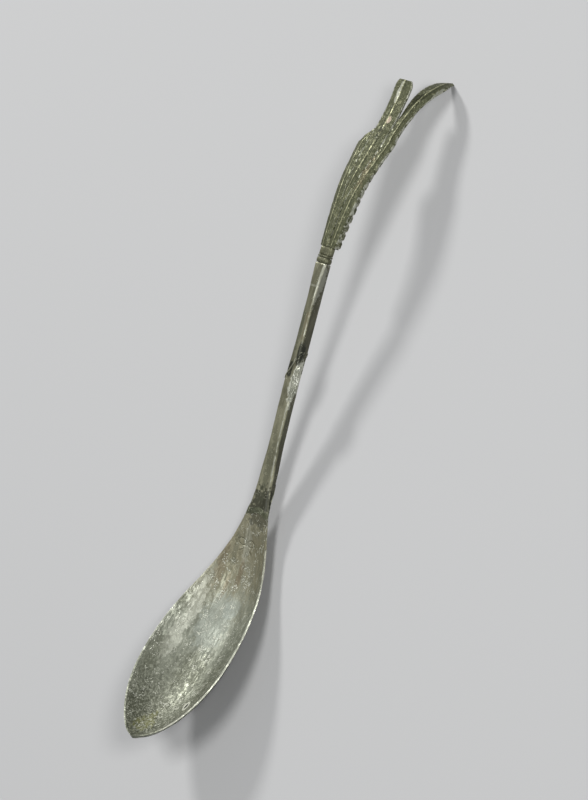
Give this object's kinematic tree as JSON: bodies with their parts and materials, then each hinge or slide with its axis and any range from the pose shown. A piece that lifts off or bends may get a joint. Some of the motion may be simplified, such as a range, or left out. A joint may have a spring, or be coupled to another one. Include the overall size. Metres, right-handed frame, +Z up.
{
  "type": "spoon",
  "caption": "Ancient metal spoon: pointed leaf-shaped bowl, slender mended shank, ringed collar and a finial of three splayed leaves, one of them broken short.",
  "frame": {"origin": "the middle of the worn flat on the bowl's keel, on which the spoon rests", "axes": "+X from the bowl to the finial, +Y to the spoon's left with the bowl open upwards, +Z up from the table"},
  "size_m": [0.2025, 0.0308, 0.0212],
  "materials": {
    "worn_silver": "grey-green tarnished silver, scratched and worn bright along its edges",
    "dark_solder": "dark green mottled old solder",
    "bright_solder": "pale rough granular solder",
    "green_patina": "olive-green patina with worn bright midribs"
  },
  "bodies": {
    "root": {"bowl": "worn_silver", "neck_solder": "dark_solder", "shank_lower": "worn_silver", "mend_solder": "bright_solder", "shank_upper": "worn_silver", "ring_lower": "worn_silver", "ring_upper": "worn_silver", "ferrule": "worn_silver", "leaf_left": "green_patina", "leaf_centre": "green_patina", "leaf_right": "green_patina"}
  },
  "joints": []
}
